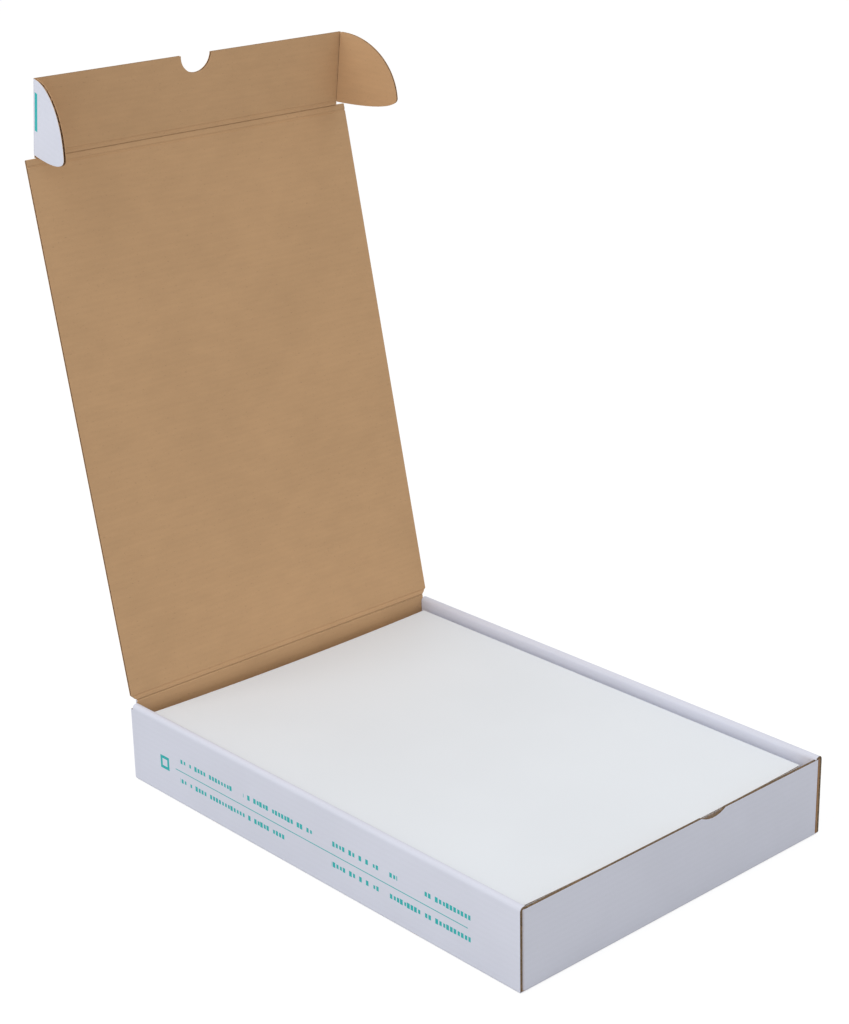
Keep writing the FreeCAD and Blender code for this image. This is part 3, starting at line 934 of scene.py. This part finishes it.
def sheaf_tree():
    """Layers of sheets, each a little out of line, that sag along the middle and lean forward."""
    tree = bpy.data.node_groups.new("sheaf", "GeometryNodeTree")
    face = tree.interface
    for name in ("Width", "Length", "Height", "Sag", "Lean", "Jitter"):
        face.new_socket(name, in_out="INPUT", socket_type="NodeSocketFloat")
    for name in ("Packets", "Seed"):
        face.new_socket(name, in_out="INPUT", socket_type="NodeSocketInt")
    face.new_socket("Faces", in_out="INPUT", socket_type="NodeSocketMaterial")
    face.new_socket("Edges", in_out="INPUT", socket_type="NodeSocketMaterial")
    face.new_socket("Geometry", in_out="OUTPUT", socket_type="NodeSocketGeometry")
    graph = Graph(tree)
    given = graph.node("NodeGroupInput")
    width, depth, height = (graph.out(given, name) for name in ("Width", "Length", "Height"))
    packets = graph.out(given, "Packets")
    layer = height / packets
    size = graph.out(graph.node("ShaderNodeCombineXYZ", None, X=width, Y=depth, Z=layer * 0.94))
    cube = graph.node("GeometryNodeMeshCube", None, Size=size, Vertices_X=17, Vertices_Y=9,
                      Vertices_Z=2)
    first = graph.out(graph.node("ShaderNodeCombineXYZ", None, Z=layer * 0.5))
    rise = graph.out(graph.node("ShaderNodeCombineXYZ", None, Z=layer))
    line = graph.node("GeometryNodeMeshLine", {"mode": "OFFSET"}, Count=packets,
                      Start_Location=first, Offset=rise)
    near = graph.out(given, "Jitter")
    back = near * -1.0
    low = graph.out(graph.node("ShaderNodeCombineXYZ", None, X=back, Y=back))
    high = graph.out(graph.node("ShaderNodeCombineXYZ", None, X=near, Y=near))
    shift = graph.node("FunctionNodeRandomValue", {"data_type": "FLOAT_VECTOR"})
    graph.feed(shift.inputs[0], low)
    graph.feed(shift.inputs[1], high)
    graph.feed(shift.inputs["Seed"], graph.out(given, "Seed"))
    scattered = graph.node("GeometryNodeSetPosition", None, Geometry=graph.out(line),
                           Offset=graph.out(shift, 0))
    layers = graph.node("GeometryNodeInstanceOnPoints", None, Points=graph.out(scattered),
                        Instance=graph.out(cube))
    whole = graph.node("GeometryNodeRealizeInstances", None, Geometry=graph.out(layers))
    place = graph.node("ShaderNodeSeparateXYZ", None,
                       Vector=graph.out(graph.node("GeometryNodeInputPosition")))
    share = graph.out(place, 0) / (width * 0.5)
    level = graph.out(place, 2) / height
    dip = (share * share - 1.0) * level * graph.out(given, "Sag")
    lean = level * graph.out(given, "Lean") * -1.0
    moved = graph.node("GeometryNodeSetPosition", None, Geometry=graph.out(whole),
                       Offset=graph.out(graph.node("ShaderNodeCombineXYZ", None, Y=lean, Z=dip)))
    normal = graph.node("ShaderNodeSeparateXYZ", None,
                        Vector=graph.out(graph.node("GeometryNodeInputNormal")))
    flat = graph.math("GREATER_THAN", graph.math("ABSOLUTE", graph.out(normal, 2)), 0.7)
    edged = graph.node("GeometryNodeSetMaterial", None, Geometry=graph.out(moved),
                       Material=graph.out(given, "Edges"))
    faced = graph.node("GeometryNodeSetMaterial", None, Geometry=graph.out(edged),
                       Selection=flat, Material=graph.out(given, "Faces"))
    end = graph.node("NodeGroupOutput")
    graph.tree.links.new(faced.outputs[0], end.inputs[0])
    return tree


class CARTON_OT_stack(bpy.types.Operator):
    """Make the stack of sheets"""
    bl_idname = "carton.stack"
    bl_label = "Paper stack"

    def execute(self, context):
        stack = context.scene.carton_stack
        low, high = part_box("paper_stack")
        mesh = bpy.data.meshes.new("sheet_stack")
        piece = bpy.data.objects.new("sheet_stack", mesh)
        context.scene.collection.objects.link(piece)
        modifier = piece.modifiers.new("sheaf", "NODES")
        modifier.node_group = sheaf_tree()
        set_input(modifier, "Width", high.x - low.x - 2 * stack.jitter)
        set_input(modifier, "Length", high.y - low.y - stack.lean - 2 * stack.jitter)
        set_input(modifier, "Height", high.z - low.z)
        set_input(modifier, "Sag", stack.sag)
        set_input(modifier, "Lean", stack.lean)
        set_input(modifier, "Jitter", stack.jitter)
        set_input(modifier, "Packets", stack.packets)
        set_input(modifier, "Seed", stack.seed)
        set_input(modifier, "Faces", finish("sheet_face"))
        set_input(modifier, "Edges", finish("sheet_edges"))
        baked(piece, modifier)
        middle = (low.y + stack.lean + high.y) / 2
        piece.data.transform(Matrix.Translation((0, middle, low.z)))
        piece.data.update()
        dress(piece, "paper_stack", "tray_body")
        return {"FINISHED"}


class CARTON_OT_stage(bpy.types.Operator):
    """Set the floor, the lamps, the surroundings and the camera"""
    bl_idname = "carton.stage"
    bl_label = "Stage"

    def execute(self, context):
        scene, stage = context.scene, context.scene.carton_stage
        scene.view_settings.view_transform = "Standard"
        camera = bpy.data.cameras.new("camera")
        camera.lens = stage.lens
        camera.sensor_width = 36.0
        camera.clip_start, camera.clip_end = 0.01, 50.0
        right = Vector((0.737086, -0.675551, -0.018322))
        up = Vector((0.250575, 0.248019, 0.935788))
        back = right.cross(up)
        eye = bpy.data.objects.new("camera", camera)
        turned = Matrix((right, up, back)).transposed().to_4x4()
        eye.matrix_world = Matrix.Translation(Vector(stage.place)) @ turned
        scene.collection.objects.link(eye)
        scene.camera = eye

        for name, power, place, target, size in (
                ("key_lamp", stage.key, (-1.7, 0.35, 1.9), (0, 0, 0.12), 1.6),
                ("front_lamp", stage.fill, (0.9, -0.9, 1.2), (0, 0, 0.15), 0.8)):
            lamp = bpy.data.lights.new(name, "AREA")
            lamp.energy, lamp.size, lamp.shape = power, size, "SQUARE"
            item = bpy.data.objects.new(name, lamp)
            turn = (Vector(target) - Vector(place)).to_track_quat("-Z", "Y")
            item.matrix_world = Matrix.Translation(place) @ turn.to_matrix().to_4x4()
            scene.collection.objects.link(item)

        world = bpy.data.worlds.new("surroundings")
        scene.world = world
        world.use_nodes = True
        graph = Graph(world.node_tree)
        path = graph.node("ShaderNodeLightPath")
        seen = graph.math("MAXIMUM", graph.out(path, "Is Camera Ray"),
                          graph.math("MAXIMUM", graph.out(path, "Is Glossy Ray"),
                                     graph.out(path, "Is Transmission Ray")))
        strength = seen * (1.0 - stage.sky) + stage.sky
        sky = graph.node("ShaderNodeBackground", None, Color=(1.0, 1.0, 1.0, 1.0),
                         Strength=strength)
        output = graph.node("ShaderNodeOutputWorld")
        graph.tree.links.new(sky.outputs[0], output.inputs["Surface"])

        mesh = bpy.data.meshes.new("floor")
        reach = 6.0
        corners = [(-reach, -reach, 0), (reach, -reach, 0), (reach, reach, 0), (-reach, reach, 0)]
        mesh.from_pydata(corners, [], [(0, 1, 2, 3)])
        floor = bpy.data.objects.new("floor", mesh)
        scene.collection.objects.link(floor)
        mesh.materials.append(self.floor_finish(scene))
        floor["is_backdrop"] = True
        return {"FINISHED"}

    @staticmethod
    def floor_finish(scene):
        """Plain floor that takes shadows, with a light of its own that only the camera sees."""
        stage = scene.carton_stage
        material = bpy.data.materials.new("floor_finish")
        material.use_nodes = True
        graph = Graph(material.node_tree)
        place = graph.out(graph.node("ShaderNodeTexCoord"), "Object")
        grain = graph.noise(place, 3.0, 2.0)
        pale = tuple(scene.carton_colours.floor)
        shade = graph.mix(grain, tuple(0.99 * value for value in pale), pale)
        plain = graph.node("ShaderNodeBsdfDiffuse", None, Color=shade)
        glow = graph.node("ShaderNodeEmission", None, Color=(1.0, 1.0, 1.0, 1.0),
                          Strength=stage.glow)
        path = graph.node("ShaderNodeLightPath")
        blend = graph.node("ShaderNodeMixShader", None,
                           in_0=graph.out(path, "Is Camera Ray") * stage.glow_share)
        graph.tree.links.new(plain.outputs[0], blend.inputs[1])
        graph.tree.links.new(glow.outputs[0], blend.inputs[2])
        output = graph.node("ShaderNodeOutputMaterial")
        graph.tree.links.new(blend.outputs[0], output.inputs["Surface"])
        return material


class CARTON_PT_pieces(bpy.types.Panel):
    """Lists the carton's pieces and their sizes"""
    bl_idname = "CARTON_PT_pieces"
    bl_label = "Open paper carton"
    bl_space_type = "VIEW_3D"
    bl_region_type = "UI"
    bl_category = "Carton"

    def draw(self, context):
        layout = self.layout
        for operator in operators:
            layout.operator(operator.bl_idname)
        for holder in ("carton_board", "carton_stack", "carton_colours", "carton_stage"):
            settings = getattr(context.scene, holder)
            box = layout.box()
            for name in settings.__annotations__:
                box.prop(settings, name)


operators = [CARTON_OT_stage, CARTON_OT_finishes, CARTON_OT_tray, CARTON_OT_lid, CARTON_OT_flap,
             CARTON_OT_ears, CARTON_OT_stack]
groups = {"carton_board": BoardSettings, "carton_stack": StackSettings,
          "carton_colours": ColourSettings, "carton_stage": StageSettings}


def register():
    for kind in [*groups.values(), *operators, CARTON_PT_pieces]:
        bpy.utils.register_class(kind)
    for name, kind in groups.items():
        setattr(bpy.types.Scene, name, PointerProperty(type=kind))


def unregister():
    for name in groups:
        delattr(bpy.types.Scene, name)
    for kind in [CARTON_PT_pieces, *operators[::-1], *list(groups.values())[::-1]]:
        bpy.utils.unregister_class(kind)


def plain(box):
    return [[float(value) for value in corner] for corner in box]


def main():
    solid_box = plain(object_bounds())
    register()
    bpy.ops.carton.stage()
    bpy.ops.carton.finishes()
    bpy.ops.carton.tray()
    bpy.ops.carton.lid()
    bpy.ops.carton.flap()
    bpy.ops.carton.ears()
    bpy.ops.carton.stack()
    {"cad_box": solid_box, "visual_box": plain(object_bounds())}


if __name__ == "__main__":
    main()
